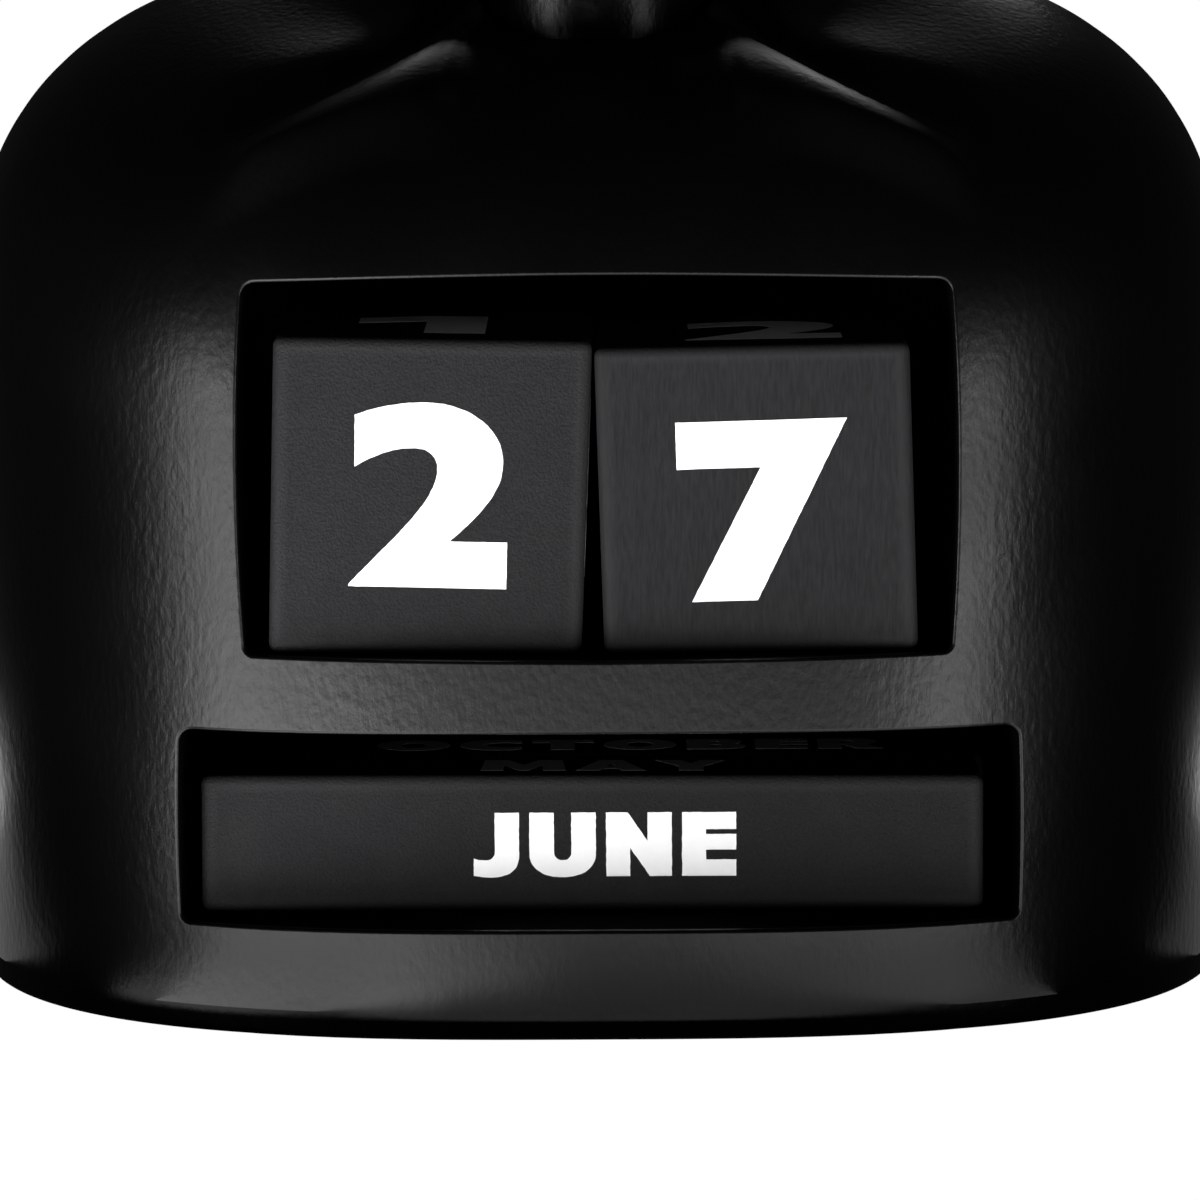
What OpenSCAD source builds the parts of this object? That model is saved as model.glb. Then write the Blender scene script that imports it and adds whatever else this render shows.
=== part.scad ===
// Perpetual desk calendar in the form of a bust. A hollow torso casting carries two open
// pockets: one for the two date cubes, one below it for the three month bars, which stand
// one behind the other. The head and neck are a second casting, seated in a bored socket.
// Millimetres. +Z is up, the front faces -Y, and the origin is the middle of the footprint.

/* [Date cubes] */
// Side of a date cube
cube_side = 35.5; // [30:0.5:40]
// Rounding of the cubes' edges
cube_round = 0.8; // [0.4:0.1:2]
// Gap between the two cubes at their feet
cube_gap = 2.4; // [2.4:0.1:5]
// How far the date pocket's floor falls to the middle, in degrees, so the cubes lean together
floor_fall = 1.5; // [0.2:0.1:1.8]

/* [Month bars] */
// Length of a month bar
bar_length = 89.5; // [80:0.5:94]
// How far the front bar lies to the right of the middle
front_bar_shift = -0.6; // [-1.5:0.1:1.5]
// Thickness of a month bar, which is square in section
bar_side = 15.6; // [12:0.2:16]
// Rounding of the bars' edges
bar_round = 0.8; // [0.4:0.1:2]
// Gap between one bar and the next
bar_gap = 0.3; // [0.2:0.1:1]

/* [Pockets] */
// Gap between the cubes and each side of their pocket
cube_side_gap = 3.2; // [3:0.1:6]
// Finger room over the cubes, at the middle of the window
cube_head_room = 7.8; // [6:0.1:11]
// Gap between a bar's end and its pocket
bar_end_gap = 2.9; // [2:0.1:5]
// Finger room over the bars, at the middle of the window
bar_head_room = 6.8; // [5.5:0.1:9]
// Play between a cube or bar and the floor under it
floor_gap = 0.05; // [0.02:0.01:0.2]
// Gap behind the last piece in each pocket
rear_gap = 0.8; // [0.3:0.1:2]
// How far the cubes stand behind the front of the chest
cube_setback = 6.9; // [5:0.1:9]
// How far the bars stand behind the front of the chest
bar_setback = 12; // [9:0.1:14]
// Height from the casting's underside to the month pocket's floor
sill_height = 12.5; // [10:0.1:16]
// Web of resin between the two pockets
web_height = 8.3; // [6:0.1:10]
// Rise of the arch along the top of the date window
date_arch = 0.9; // [0:0.1:1.5]
// Swell of the date window's upright sides
date_swell = 0.7; // [0:0.1:1]
// Rise of the arch along the top of the month window
month_arch = 0.2; // [0:0.1:1]
// Swell of the month window's upright sides
month_swell = 0.2; // [0:0.1:0.6]
// Radius of the windows' corners
window_corner = 1.3; // [0.8:0.1:2.5]

/* [Torso] */
// Width of the torso beyond each end of the month pocket
cheek_width = 27.3; // [22:0.1:32]
// Depth of the torso from its widest line to the chest
chest_depth = 54.7; // [51:0.1:60]
// Depth of the torso from its widest line to the back
back_depth = 40; // [36:0.5:46]
// How much narrower each side is at the foot than under the shoulder
foot_taper = 1; // [0:0.1:2.5]
// Squareness of the footprint, where 2 is an ellipse
plan_squareness = 3.1; // [2.6:0.1:3.6]
// Rounding of the foot's outer edge
foot_round = 0.8; // [0.8:0.1:3]
// Height from the date window's top to the pit of the neck
chest_rise = 24.4; // [21:0.5:28]
// Height over which the sides and chest turn in to the neck
shoulder_drop = 40.1; // [35:0.1:42]
// Fullness of the chest's curve into the neck, where 2 is a quarter circle
chest_fullness = 2.5; // [2:0.1:2.8]
// Fullness of the shoulders' curve, where 2 is a quarter circle
shoulder_fullness = 3; // [2.2:0.1:3.3]
// Height of the shoulder line above the pit of the neck
shoulder_rise = 10.2; // [7:0.1:13]
// Further rise of the muscle beside the neck
neck_rise = 6; // [3:0.5:8]
// Bearing from the front at which the collar has risen to the shoulder line, in degrees
collar_turn = 109; // [95:1:120]
// Slowness of the collar's rise in front
collar_ease = 1.9; // [1.5:0.1:2.4]
// How far a collarbone runs out from the side of the neck
collarbone_length = 30; // [24:1:34]
// How far a collarbone runs forward on its way out
collarbone_advance = 30; // [24:0.5:32]
// Length of the bend in which a collarbone turns from running forward to running outward
collarbone_bend = 9; // [6:0.5:11]
// Height of the collarbone ridges
collarbone_height = 1.3; // [0.6:0.1:2]
// Depth of the hollows behind the collarbones
hollow_depth = 2.4; // [1:0.1:3]

/* [Neck and head] */
// Diameter of the neck where it enters the torso
neck_diameter = 28; // [25:0.5:31]
// How far the neck's axis lies behind the middle of the footprint
neck_setback = 6; // [3:0.5:9]
// How deep the foot of the neck is let into the torso at the pit
neck_seat = 1.5; // [1:0.5:3]
// Diameter of the spigot under the neck
spigot_diameter = 16; // [12:0.5:20]
// Length of the spigot
spigot_length = 6; // [4:0.5:9]
// Glue gap around the neck in its socket
glue_gap = 0.1; // [0.05:0.05:0.2]
// Height of the chin above the pit of the neck
chin_rise = 20; // [17:0.5:24]
// Height of the head, from chin to crown
head_height = 62; // [56:0.5:68]
// How far the head stands in front of the neck's axis
head_advance = 5; // [3:0.5:7]
// How much slimmer the neck is at the head than at its foot, in diameter
neck_waist = 2; // [0:0.5:3]

/* [Shell and base] */
// Wall of the torso casting
shell_wall = 6.5; // [5:0.5:8]
// Wall between a pocket and the hollow
pocket_wall = 4; // [3:0.5:5]
// Thickness of the base plate
plate_thickness = 3; // [2:0.5:5]
// Width of the casting's foot outside the base plate
foot_rim = 4; // [3:0.5:5]
// Gap around the base plate
plate_gap = 0.2; // [0.1:0.1:0.5]
// Ledge that the base plate is glued to
plate_ledge = 3; // [2:0.5:4]
// Thickness of the felt
felt_thickness = 1; // [0.8:0.1:2]
// How far the felt stops short of the casting's edge
felt_inset = 5; // [3:0.5:6]

/* [Hidden] */
$fn = 72;
over = 1; // how far a cut runs past what it cuts

resin = [0.03, 0.03, 0.032];
paint = [0.16, 0.16, 0.165];
board = [0.42, 0.33, 0.24];
cloth = [0.07, 0.07, 0.07];

// Heights, worked out upwards from the felt.
foot_z = felt_thickness;
month_floor_z = foot_z + sill_height;
month_window_h = bar_side + bar_head_room;
day_floor_z = month_floor_z + month_window_h + web_height;
day_window_h = cube_side + cube_head_room;
pit_z = day_floor_z + day_window_h + chest_rise;
side_z = pit_z - shoulder_drop;
seat_z = pit_z - neck_seat;
socket_z = seat_z - spigot_length;

// Depths and widths.
front_y = -(chest_depth + back_depth) / 2;
widest_y = front_y + chest_depth;
cube_front_y = front_y + cube_setback;
bar_front_y = front_y + bar_setback;
bar_pitch = bar_side + bar_gap;
bar_count = 3;
day_rear_y = cube_front_y + cube_side + rear_gap;
month_rear_y = bar_front_y + bar_count * bar_pitch - bar_gap + rear_gap;
day_window_w = 2 * cube_side + cube_gap + 2 * cube_side_gap;
month_window_w = bar_length + 2 * bar_end_gap;
torso_half_w = month_window_w / 2 + cheek_width;
neck_r = neck_diameter / 2;

// How the shoulders end: the ring inside the neck that they run in to, the turn at which they
// stop short of level, and how far out the muscle beside the neck reaches, as a share.
hub_r = neck_r - 4;
last_turn = 88;
muscle_reach = 0.45;

// How a collarbone lies: its root in front of the neck's axis, in parts of the neck's radius,
// its lead-in and tail, the spread of its ridge, and the place and spread of the hollow.
collarbone_root = 0.8;
collarbone_lead = 3;
collarbone_tail = 14;
ridge_spread = 2.2;
hollow_place = 6.5;
hollow_spread = 4.5;

// ---- Shapes used more than once ----

function arc_points(centre, r, from, to, steps) =
    [for (i = [0:steps]) let (a = from + (to - from) * i / steps)
        centre + r * [cos(a), sin(a)]];

// A window's outline in X and Z, standing on z = 0: level below, swelling at the sides and
// arched on top, with round corners.
function window_outline(w, h, arch, swell) =
    let (cx = w / 2 - window_corner, top = h - arch - window_corner, low = window_corner)
    concat(
        arc_points([cx, low], window_corner, -90, 0, 4),
        [for (t = [-0.6:0.3:0.6])
            [w / 2 + swell * (1 - t * t), (low + top) / 2 + t * (top - low) / 2]],
        arc_points([cx, top], window_corner, 0, 90, 4),
        [for (t = [0.8:-0.2:-0.8]) [cx * t, h - arch * t * t]],
        arc_points([-cx, top], window_corner, 90, 180, 4),
        [for (t = [0.6:-0.3:-0.6])
            [-w / 2 - swell * (1 - t * t), (low + top) / 2 + t * (top - low) / 2]],
        arc_points([-cx, low], window_corner, 180, 270, 4));

// Stands a flat outline up in X and Z, and runs it from one depth to another.
module along_y(from_y, to_y) {
    translate([0, to_y, 0])
        rotate([90, 0, 0])
            linear_extrude(to_y - from_y) children();
}

module round_rect(w, h, r) {
    square([w - 2 * r, h], center = true);
    square([w, h - 2 * r], center = true);
    for (x = [-1, 1], y = [-1, 1])
        translate([x * (w / 2 - r), y * (h / 2 - r)]) circle(r);
}

// A block with every edge rounded, centred on the origin.
module round_block(w, d, h, r) {
    intersection() {
        linear_extrude(h, center = true) round_rect(w, d, r);
        rotate([90, 0, 0]) linear_extrude(d, center = true) round_rect(w, h, r);
        rotate([90, 0, 90]) linear_extrude(w, center = true) round_rect(d, h, r);
    }
}

// Closes a stack of rings, each a list of as many points, into one solid.
module ring_solid(rings) {
    n = len(rings[0]);
    last = len(rings) - 1;
    sides = [for (i = [0:last - 1], j = [0:n - 1])
        let (a = i * n + j, b = i * n + (j + 1) % n, c = b + n, d = a + n)
        each [[a, d, c], [a, c, b]]];
    foot = [for (j = [1:n - 2]) [0, j, j + 1]];
    cap = [for (j = [1:n - 2]) [last * n, last * n + j + 1, last * n + j]];
    polyhedron(points = [for (r = rings) each r], faces = concat(sides, foot, cap));
}

// ---- Torso ----

function smooth(t) = let (u = min(1, max(0, t))) u * u * (3 - 2 * u);

// Rise of the collar at each bearing: none at the pit in front, full at the sides and back.
function collar_share(bearing) = smooth(pow(acos(-sin(bearing)) / collar_turn, collar_ease));

// A point of the footprint, inset by so much, at a bearing about the widest line.
function plan_point(bearing, inset, taper = 0) =
    let (side = torso_half_w - inset - taper,
        depth = (sin(bearing) < 0 ? -chest_depth : back_depth) + sign(-sin(bearing)) * inset)
    [side * cos(bearing),
        widest_y + depth * sqrt(max(0, 1 - pow(abs(cos(bearing)), plan_squareness)))];

// Height that a collarbone and the hollow behind it add at a point of the plan. Both start
// beside the pit and run out at the far end.
function collarbone(p) =
    let (out = abs(p[0]) - neck_r,
        bend = collarbone_advance * exp(-out / collarbone_bend),
        crest_y = neck_setback - collarbone_root * neck_r - collarbone_advance + bend,
        behind = (p[1] - crest_y) / norm([1, bend / collarbone_bend]),
        rise = smooth((out + collarbone_lead) / (collarbone_lead + ridge_spread)),
        fall = smooth((collarbone_length - out) / collarbone_tail),
        ridge = exp(-pow(behind / ridge_spread, 2)),
        dip = exp(-pow((behind - hollow_place) / hollow_spread, 2)))
    rise * fall * (collarbone_height * ridge - hollow_depth * dip);

// A point of the shoulders, where turn goes from 0 at the upright side to 90 at the neck.
function shoulder_point(bearing, turn, inset) =
    let (m = chest_fullness + (shoulder_fullness - chest_fullness) * pow(cos(bearing), 2),
        reach = pow(cos(turn), 2 / m),
        rise = pow(sin(turn), 2 / m),
        hub = [hub_r * cos(bearing), neck_setback + hub_r * sin(bearing)],
        p = hub + (plan_point(bearing, inset) - hub) * reach,
        share = collar_share(bearing),
        top = pit_z - inset + shoulder_rise * share,
        muscle = neck_rise * share * share * pow(max(0, 1 - reach / muscle_reach), 2))
    [p[0], p[1], side_z - inset / 2 + (top - side_z + inset / 2) * rise + muscle
        + (inset == 0 ? collarbone(p) : 0)];

function torso_rings(inset, low_z, steps, count) =
    let (bearings = [for (j = [0:steps - 1]) 360 * j / steps])
    concat(
        inset == 0
            ? [for (a = [0:30:90])
                [for (b = bearings)
                    [each plan_point(b, foot_round * (1 - sin(a)), foot_taper),
                        low_z + foot_round * (1 - cos(a))]]]
            : [[for (b = bearings) [each plan_point(b, inset, foot_taper), low_z]]],
        [for (i = [0:count])
            let (turn = last_turn * pow(i / count, 0.9))
            [for (b = bearings) shoulder_point(b, turn, inset)]]);

module day_pocket() {
    w = day_window_w;
    outline = window_outline(w, day_window_h, date_arch, date_swell);
    along_y(front_y - over, cube_front_y)
        translate([0, day_floor_z]) polygon(outline);
    along_y(cube_front_y - over, day_rear_y)
        translate([0, day_floor_z]) intersection() {
            polygon(outline);
            polygon([[0, 0], [w, w * tan(floor_fall)], [w, w], [-w, w],
                [-w, w * tan(floor_fall)]]);
        }
}

module month_pocket() {
    along_y(front_y - over, month_rear_y)
        translate([0, month_floor_z])
            polygon(window_outline(month_window_w, month_window_h, month_arch, month_swell));
}

// The block of resin round a pocket, which the hollow goes around.
module pocket_block(w, low_z, high_z, rear_y) {
    t = pocket_wall;
    translate([-w / 2 - t, front_y, low_z - t])
        cube([w + 2 * t, rear_y - front_y + t, high_z - low_z + 2 * t]);
}

// The hollow, open below through the ledge of the base plate.
module hollow() {
    difference() {
        ring_solid(torso_rings(shell_wall + plate_ledge, foot_z - over, 48, 10));
        pocket_block(day_window_w + 2 * date_swell, day_floor_z, day_floor_z + day_window_h,
            day_rear_y);
        pocket_block(month_window_w + 2 * month_swell, month_floor_z,
            month_floor_z + month_window_h, month_rear_y);
        translate([0, neck_setback, socket_z - pocket_wall])
            cylinder(h = pit_z - socket_z, d = spigot_diameter + 2 * pocket_wall);
        translate([0, neck_setback, seat_z - pocket_wall])
            cylinder(h = pit_z + shoulder_rise + neck_rise - seat_z, r = neck_r + pocket_wall);
    }
}

// The footprint as a slab, stopping short of the casting's edge.
module foot_slab(inset, low_z, height) {
    translate([0, 0, low_z]) linear_extrude(height)
        polygon([for (b = [0:4:356]) plan_point(b, inset, foot_taper)]);
}

module torso() {
    color(resin) difference() {
        ring_solid(torso_rings(0, foot_z, 80, 30));
        day_pocket();
        month_pocket();
        hollow();
        foot_slab(foot_rim, foot_z - over, over + plate_thickness);
        neck(0);
        spigot(0, socket_z);
    }
}

module base_plate() {
    color(board) foot_slab(foot_rim + plate_gap, foot_z, plate_thickness);
}

module felt() {
    color(cloth) foot_slab(felt_inset, 0, felt_thickness);
}

// ---- Head and neck ----

// The head's main masses are egg shapes round its middle, each [centre], [radii], in parts of
// its height: X to the side, Y to the back, Z up.
skull = [[0, 0.06, 0.14], [0.335, 0.385, 0.36]];
face = [[0, -0.125, -0.13], [0.265, 0.27, 0.35]];
jaw = [[0, -0.15, -0.2], [0.2, 0.24, 0.295]];
masses = [skull, face, jaw];
mass_blend = 0.02;

// Its features are soft swells and hollows, each [bearing from the nose, lift above the
// middle], [spread across, spread up], and height, the last in parts of the head's height.
middle_features = [
    [[0, -5], [6, 12], 0.03],    // bridge of the nose
    [[0, -20], [7.5, 7], 0.078],   // tip of the nose
    [[0, -33], [10, 3.4], 0.02],   // upper lip
    [[0, -40], [9, 3.4], 0.022],   // lower lip
    [[0, -46], [10, 3.6], -0.012], // hollow under the lip
    [[0, -54], [11, 7], 0.028]     // chin
];
paired_features = [
    [[8, -23], [5, 4.5], 0.026],   // wing of the nose
    [[20, 1], [11, 7.5], -0.042],  // eye socket
    [[20, -1.5], [8, 5], 0.026],   // closed lid
    [[17, 11], [14, 5], 0.016],    // brow
    [[38, -13], [13, 9], 0.018],   // cheekbone
    [[62, 18], [15, 13], -0.012],  // temple
    [[94, -7], [6, 14], 0.06]      // ear
];
features = concat(middle_features, paired_features,
    [for (f = paired_features) [[-f[0][0], f[0][1]], f[1], f[2]]]);

// How far out along the way w an egg shape round the middle reaches.
function egg_reach(w, egg) =
    let (c = egg[0], r = egg[1],
        a = pow(w[0] / r[0], 2) + pow(w[1] / r[1], 2) + pow(w[2] / r[2], 2),
        b = w[0] * c[0] / pow(r[0], 2) + w[1] * c[1] / pow(r[1], 2) + w[2] * c[2] / pow(r[2], 2),
        k = pow(c[0] / r[0], 2) + pow(c[1] / r[1], 2) + pow(c[2] / r[2], 2) - 1)
    (b + sqrt(b * b - a * k)) / a;

function total(list) = list * [for (l = list) 1];

function head_reach(bearing, lift) =
    let (w = [sin(bearing) * cos(lift), -cos(bearing) * cos(lift), sin(lift)])
    mass_blend * ln(total([for (m = masses) exp(egg_reach(w, m) / mass_blend)]))
        + total([for (f = features)
            let (across = (bearing - f[0][0]) * cos(lift) / cos(f[0][1]), up = lift - f[0][1])
            f[2] * exp(-pow(across / f[1][0], 2) - pow(up / f[1][1], 2))]);

head_mid = [0, neck_setback - head_advance, pit_z + chin_rise + head_height / 2];

// One level ring of the head, its points closer together round the face.
function head_ring(lift, steps) =
    [for (j = [0:steps - 1])
        let (turn = 360 * j / steps - 180, bearing = turn - 22 * sin(turn))
        head_mid + head_height * head_reach(bearing, lift)
            * [sin(bearing) * cos(lift), -cos(bearing) * cos(lift), sin(lift)]];

// The neck leans forward into the head and slims on its way. Its seat in the torso is the
// same form without the glue gap.
module neck(gap) {
    steps = 48;
    rings = 8;
    rise = head_mid[2] - seat_z;
    ring_solid([for (i = [0:rings])
        let (share = i / rings,
            lean = head_advance * smooth(share),
            r = neck_r - gap - neck_waist / 2 * smooth(2 * share))
        [for (j = [0:steps - 1])
            let (turn = 360 * j / steps)
            [r * cos(turn), neck_setback - lean + r * sin(turn), seat_z + rise * share]]]);
}

module spigot(gap, from_z) {
    translate([0, neck_setback, from_z])
        cylinder(h = seat_z + over - from_z, d = spigot_diameter - 2 * gap);
}

module head() {
    color(resin) {
        ring_solid([for (i = [0:46]) head_ring(-88 + 176 * i / 46, 68)]);
        neck(glue_gap);
        spigot(glue_gap, socket_z + glue_gap);
    }
}

// ---- Cubes and bars ----

// A date cube on its half of the falling floor, on the right for side = 1.
module date_cube(side) {
    color(paint)
        translate([0, cube_front_y + cube_side / 2, day_floor_z])
            rotate([0, -side * floor_fall, 0])
                translate([side * (cube_gap + cube_side) / 2, 0, cube_side / 2 + floor_gap])
                    round_block(cube_side, cube_side, cube_side, cube_round);
}

module tens_cube() {
    date_cube(-1);
}

module units_cube() {
    date_cube(1);
}

// A month bar, counted from the front, and lying so far to the right of the middle.
module month_bar(place, shift = 0) {
    color(paint)
        translate([shift, bar_front_y + bar_side / 2 + place * bar_pitch,
            month_floor_z + floor_gap + bar_side / 2])
            round_block(bar_length, bar_side, bar_side, bar_round);
}

torso();
head();
base_plate();
felt();
tens_cube();
units_cube();
month_bar(0, front_bar_shift);  // month_bar_may_aug
month_bar(1);  // month_bar_sep_dec
month_bar(2);  // month_bar_jan_apr
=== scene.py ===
import math

import bmesh
import bpy
from mathutils import Euler, Matrix, Vector, noise
from mathutils.bvhtree import BVHTree


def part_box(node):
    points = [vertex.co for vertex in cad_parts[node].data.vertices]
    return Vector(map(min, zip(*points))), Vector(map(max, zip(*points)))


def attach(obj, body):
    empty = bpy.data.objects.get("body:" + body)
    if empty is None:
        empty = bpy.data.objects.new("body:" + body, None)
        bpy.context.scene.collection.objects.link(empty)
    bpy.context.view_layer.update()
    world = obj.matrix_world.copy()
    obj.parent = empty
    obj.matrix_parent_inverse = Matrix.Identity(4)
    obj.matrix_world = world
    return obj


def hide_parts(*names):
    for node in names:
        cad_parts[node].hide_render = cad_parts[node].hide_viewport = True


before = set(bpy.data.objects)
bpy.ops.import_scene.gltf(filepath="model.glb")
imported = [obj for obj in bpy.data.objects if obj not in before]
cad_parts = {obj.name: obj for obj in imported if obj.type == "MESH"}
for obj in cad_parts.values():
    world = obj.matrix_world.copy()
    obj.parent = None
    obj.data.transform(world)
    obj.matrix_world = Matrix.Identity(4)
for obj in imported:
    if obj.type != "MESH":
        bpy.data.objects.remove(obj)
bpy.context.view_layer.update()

# ---- Torso casting ----
# A hollow bust cast in resin and sprayed satin black. The chest is broad and nearly flat, the
# sides are round and the shoulders roll in to a collar. Two pockets with softly rounded rims
# are cast into the chest, and a shallow round seat in the collar takes the foot of the neck.

torso_low, torso_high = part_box("torso")
head_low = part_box("head")[0]
tens_low, tens_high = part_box("tens_cube")
front_bar_low, front_bar_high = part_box("month_bar_may_aug")
rear_bar_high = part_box("month_bar_jan_apr")[1]

half_width = torso_high.x
foot_narrowing = 0.0010
chest_depth = 0.0547
widest_y = torso_low.y + chest_depth
back_depth = torso_high.y - widest_y
plan_squareness = 3.1
foot_z = torso_low.z
foot_round = 0.0008
foot_rim = 0.004
plate_recess = 0.003

neck_radius = 0.014
neck_y = 0.006
neck_seat = 0.0015
spigot_length = 0.006
glue_gap = 0.0001
pit_z = head_low.z - glue_gap + spigot_length + neck_seat
shoulder_drop = 0.0401
side_z = pit_z - shoulder_drop
shoulder_rise = 0.0102
neck_rise = 0.006
muscle_reach = 0.45
chest_fullness = 2.5
shoulder_fullness = 3.0
row_spread = 0.9
collar_turn = math.radians(109)
collar_ease = 1.9
collar_lip = 0.0009
hub_inset = 0.004
hub_radius = neck_radius - hub_inset

# A collarbone's crest starts at its root, so many neck radii in front of the neck's middle. A
# strip in front of the crest, narrower further out, is tipped up by a slope that grows outwards.
collarbone_length = 0.032
collarbone_advance = 0.030
collarbone_bend = 0.009
collarbone_height = 0.0008
collarbone_root = 0.8
collarbone_inside = 0.003
collarbone_start = 0.0052
collarbone_tail = 0.008
ridge_spread = 0.0015
hollow_depth = 0.0024
hollow_setback = 0.0055
hollow_spread = 0.004
hollow_edge = 0.002
strip_width = 0.008
strip_narrowing = 0.2
strip_least = 0.002
strip_edge = 0.003
strip_levelling = 33
strip_slack = 0.06


def eased(share):
    share = min(1.0, max(0.0, share))
    return share * share * (3 - 2 * share)


def hump(distance, spread):
    return math.exp(-((distance / spread) ** 2))


def plan_point(bearing, narrowing=0.0):
    """A point of the footprint, at a bearing about the widest line."""
    across, along = math.cos(bearing), math.sin(bearing)
    depth = -chest_depth if along < 0 else back_depth
    out = math.sqrt(max(0.0, 1 - abs(across) ** plan_squareness))
    return Vector(((half_width - narrowing) * across, widest_y + depth * out, 0))


def collar_share(bearing):
    """How far the collar has risen from the pit of the neck at a bearing."""
    from_front = math.acos(max(-1.0, min(1.0, -math.sin(bearing))))
    return eased((from_front / collar_turn) ** collar_ease)


def collarbone(point):
    """Height that a collarbone and the hollow behind it add. Its crest leaves the side of the
    neck towards the front and bends outwards. In front of the crest, the bone is nearly level."""
    out = abs(point.x) - neck_radius
    bend = collarbone_advance * math.exp(-out / collarbone_bend)
    along = point.y - (neck_y - collarbone_root * neck_radius - collarbone_advance + bend)
    behind = along / math.hypot(1, bend / collarbone_bend)
    fade = eased((out + collarbone_inside) / collarbone_start)
    fade *= eased((collarbone_length - out) / collarbone_tail)
    if behind > 0:
        hollow = hollow_depth * hump(behind - hollow_setback, hollow_spread)
        hollow *= eased(behind / hollow_edge)
        return fade * (collarbone_height * hump(behind, ridge_spread) - hollow)
    width = max(strip_least, strip_width - strip_narrowing * out)
    level = eased((behind + width + strip_edge) / strip_edge)
    slope = max(0.0, strip_levelling * out - strip_slack)
    return fade * level * (collarbone_height - along * slope)


def shoulder_point(bearing, share):
    """A point of the shoulders, from the upright side at 0 to the collar at 1."""
    across, along = math.cos(bearing), math.sin(bearing)
    power = chest_fullness + (shoulder_fullness - chest_fullness) * across * across
    hub = Vector((hub_radius * across, neck_y + hub_radius * along, 0))
    spoke = plan_point(bearing) - hub
    last_reach = (neck_radius + collar_lip - hub_radius) / spoke.length
    turn = math.acos(last_reach ** (power / 2)) * share ** row_spread
    reach = math.cos(turn) ** (2 / power)
    rise = math.sin(turn) ** (2 / power)
    collar = collar_share(bearing)
    point = hub + spoke * reach
    muscle = neck_rise * collar ** 2 * max(0.0, 1 - reach / muscle_reach) ** 2
    point.z = side_z + (pit_z + shoulder_rise * collar - side_z) * rise + muscle
    point.z += collarbone(point)
    return point


def even_bearings(front_step, back_step):
    """Bearings whose points stand evenly along the footprint, closer together in front."""
    tries = 7200
    found, travelled, last = [], 0.0, plan_point(0)
    for i in range(1, tries + 1):
        bearing = math.tau * i / tries
        here = plan_point(bearing)
        travelled += (here - last).length / (front_step if here.y < widest_y else back_step)
        last = here
        if travelled >= len(found):
            found.append(bearing)
    return found


def first_ring(bm, places):
    """A closed ring of edges through a list of places."""
    column = bm.verts.layers.int.get("column") or bm.verts.layers.int.new("column")
    verts = bmesh.ops.create_circle(bm, segments=len(places), radius=1)["verts"]
    for number, vert in enumerate(verts):
        vert[column] = number
        vert.co = places[number]
    return list(dict.fromkeys(edge for vert in verts for edge in vert.link_edges))


def more_rings(bm, ring, lists, facings=(), dullness=()):
    """Extrudes a ring of edges through each next list of places, and gives the last one.
    Lists of the ways the surface faces, and of how dull it is, may go with the first ones."""
    column = bm.verts.layers.int["column"]
    for number, places in enumerate(lists):
        made = bmesh.ops.extrude_edge_only(bm, edges=ring)["geom"]
        ring = [part for part in made if isinstance(part, bmesh.types.BMEdge) and part.is_boundary]
        for vert in (part for part in made if isinstance(part, bmesh.types.BMVert)):
            vert.co = places[vert[column]]
            if facings:
                known = number < len(facings)
                vert[skin_facing] = facings[number][vert[column]] if known else Vector()
                vert[dull] = dullness[min(number, len(dullness) - 1)]
    return ring


def foot_ring(bearings, inset, height):
    middle = Vector((0, widest_y, 0))
    places = []
    for bearing in bearings:
        spoke = plan_point(bearing, foot_narrowing) - middle
        place = middle + spoke * (1 - inset / spoke.length)
        places.append(Vector((place.x, place.y, height)))
    return places


def wall_ring(bearings, share):
    """A ring of the upright wall, from the foot's rounding at 0 to the shoulders at 1."""
    height = foot_z + foot_round + (side_z - foot_z - foot_round) * share
    places = [plan_point(bearing, foot_narrowing * (1 - share)) for bearing in bearings]
    return [Vector((place.x, place.y, height)) for place in places]


def collar_ring(last_ring, turn, sink=None):
    """A ring over the collar's lip, turned so far inwards from the shoulders' last ring."""
    places = []
    for place in last_ring:
        out = Vector((place.x, place.y - neck_y, 0)).normalized()
        radius = neck_radius + collar_lip * (1 - math.sin(turn))
        height = place.z - collar_lip * (1 - math.cos(turn)) if sink is None else sink
        places.append(Vector((out.x * radius, neck_y + out.y * radius, height)))
    return places


def torso_shell(bm):
    """The closed outside of the torso, before its pockets."""
    front_step, back_step = 0.0011, 0.0028
    wall_rows, shoulder_rows, round_steps = 34, 84, 4
    bearings = even_bearings(front_step, back_step)
    lists = [foot_ring(bearings, foot_rim, foot_z)]
    for step in range(round_steps + 1):
        turn = math.pi / 2 * step / round_steps
        lists.append(foot_ring(bearings, foot_round * (1 - math.sin(turn)),
                               foot_z + foot_round * (1 - math.cos(turn))))
    lists += [wall_ring(bearings, row / wall_rows) for row in range(1, wall_rows)]
    for row in range(shoulder_rows + 1):
        lists.append([shoulder_point(bearing, row / shoulder_rows) for bearing in bearings])
    last_ring = lists[-1]
    lists += [collar_ring(last_ring, math.radians(turn)) for turn in (20, 40, 60, 80, 90)]
    lists.append(collar_ring(last_ring, math.pi / 2, pit_z - neck_seat))
    ring = first_ring(bm, foot_ring(bearings, foot_rim, foot_z + plate_recess))
    bmesh.ops.edgeloop_fill(bm, edges=ring)
    ring = more_rings(bm, ring, lists)
    bmesh.ops.edgeloop_fill(bm, edges=ring)


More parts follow.
